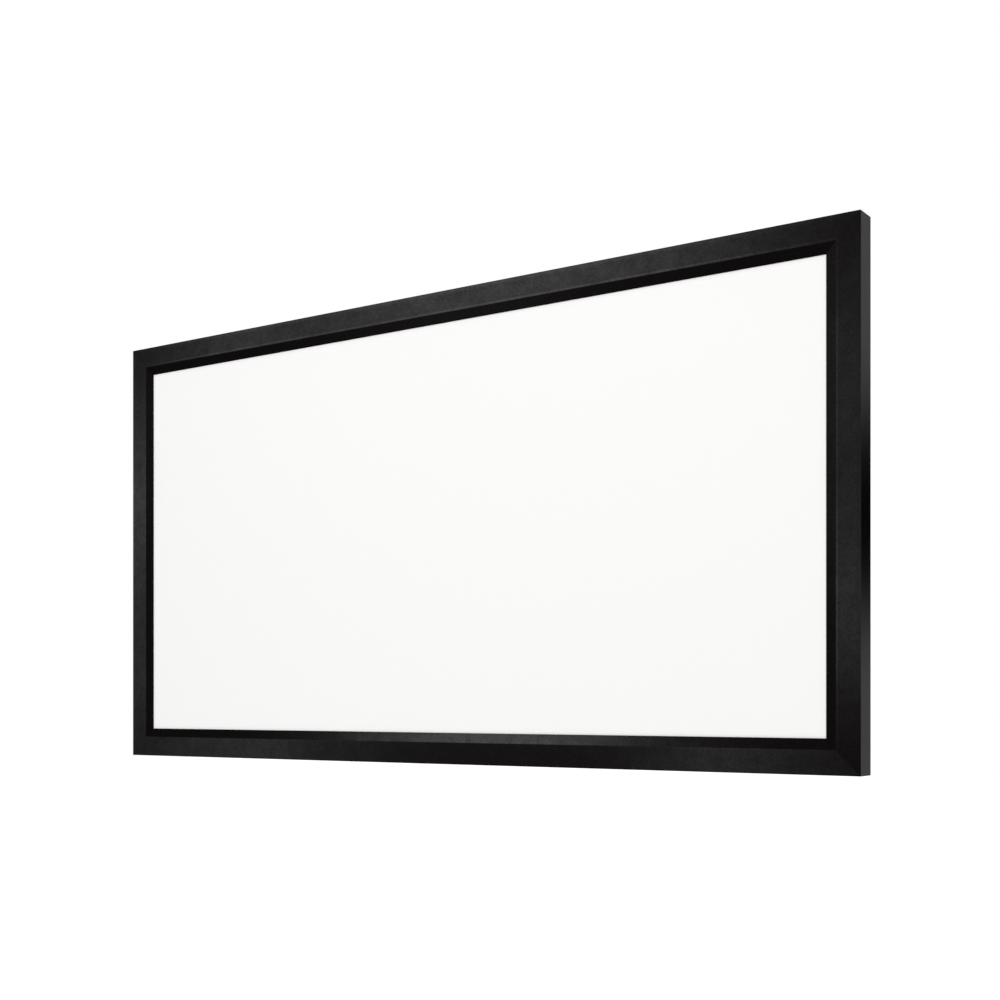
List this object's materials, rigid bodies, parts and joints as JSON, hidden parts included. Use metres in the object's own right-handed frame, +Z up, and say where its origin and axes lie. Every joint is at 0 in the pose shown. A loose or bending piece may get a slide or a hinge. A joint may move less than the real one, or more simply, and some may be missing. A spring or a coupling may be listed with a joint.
{
  "type": "fixed frame projector screen",
  "caption": "Wall-hung projector screen: a white sheet spring-stretched behind a wide bevelled aluminium border wrapped in black velvet.",
  "frame": {"origin": "centre of the whole object's box, wall hooks included: mid width, mid height and mid depth", "axes": "+X to the right as seen from the front, +Y from the viewer to the wall, +Z up; the white face looks along -Y"},
  "size_m": [2.26, 0.068, 1.21],
  "materials": {
    "velvet": "black velvet pile",
    "frame": "black anodised extrusion",
    "screen_white": "matt white cast sheet",
    "spring_steel": "bright drawn wire",
    "zinc_steel": "zinc plated",
    "black_steel": "black oxide"
  },
  "bodies": {
    "root": {"frame_rail_top": "frame", "velvet_wrap_top": "velvet", "spring_rod_top": "spring_steel", "frame_stile_right": "frame", "velvet_wrap_right": "velvet", "spring_rod_right": "spring_steel", "frame_rail_bottom": "frame", "velvet_wrap_bottom": "velvet", "spring_rod_bottom": "spring_steel", "frame_stile_left": "frame", "velvet_wrap_left": "velvet", "spring_rod_left": "spring_steel", "corner_brace_top_left": "zinc_steel", "set_screw_top_left_1": "black_steel", "set_screw_top_left_2": "black_steel", "set_screw_top_left_3": "black_steel", "set_screw_top_left_4": "black_steel", "corner_brace_top_right": "zinc_steel", "set_screw_top_right_1": "black_steel", "set_screw_top_right_2": "black_steel", "set_screw_top_right_3": "black_steel", "set_screw_top_right_4": "black_steel", "corner_brace_bottom_right": "zinc_steel", "set_screw_bottom_right_1": "black_steel", "set_screw_bottom_right_2": "black_steel", "set_screw_bottom_right_3": "black_steel", "set_screw_bottom_right_4": "black_steel", "corner_brace_bottom_left": "zinc_steel", "set_screw_bottom_left_1": "black_steel", "set_screw_bottom_left_2": "black_steel", "set_screw_bottom_left_3": "black_steel", "set_screw_bottom_left_4": "black_steel", "bar_tie_plate_top": "zinc_steel", "slot_nut_top": "zinc_steel", "tie_screw_top_1": "zinc_steel", "tie_screw_top_2": "zinc_steel", "tie_screw_top_3": "zinc_steel", "bar_tie_plate_bottom": "zinc_steel", "slot_nut_bottom": "zinc_steel", "tie_screw_bottom_1": "zinc_steel", "tie_screw_bottom_2": "zinc_steel", "tie_screw_bottom_3": "zinc_steel", "screen_sheet": "screen_white", "support_bar": "frame", "wall_hook_upper_left": "zinc_steel", "wall_hook_upper_right": "zinc_steel", "wall_hook_lower_left": "zinc_steel", "wall_hook_lower_right": "zinc_steel"}
  },
  "joints": []
}
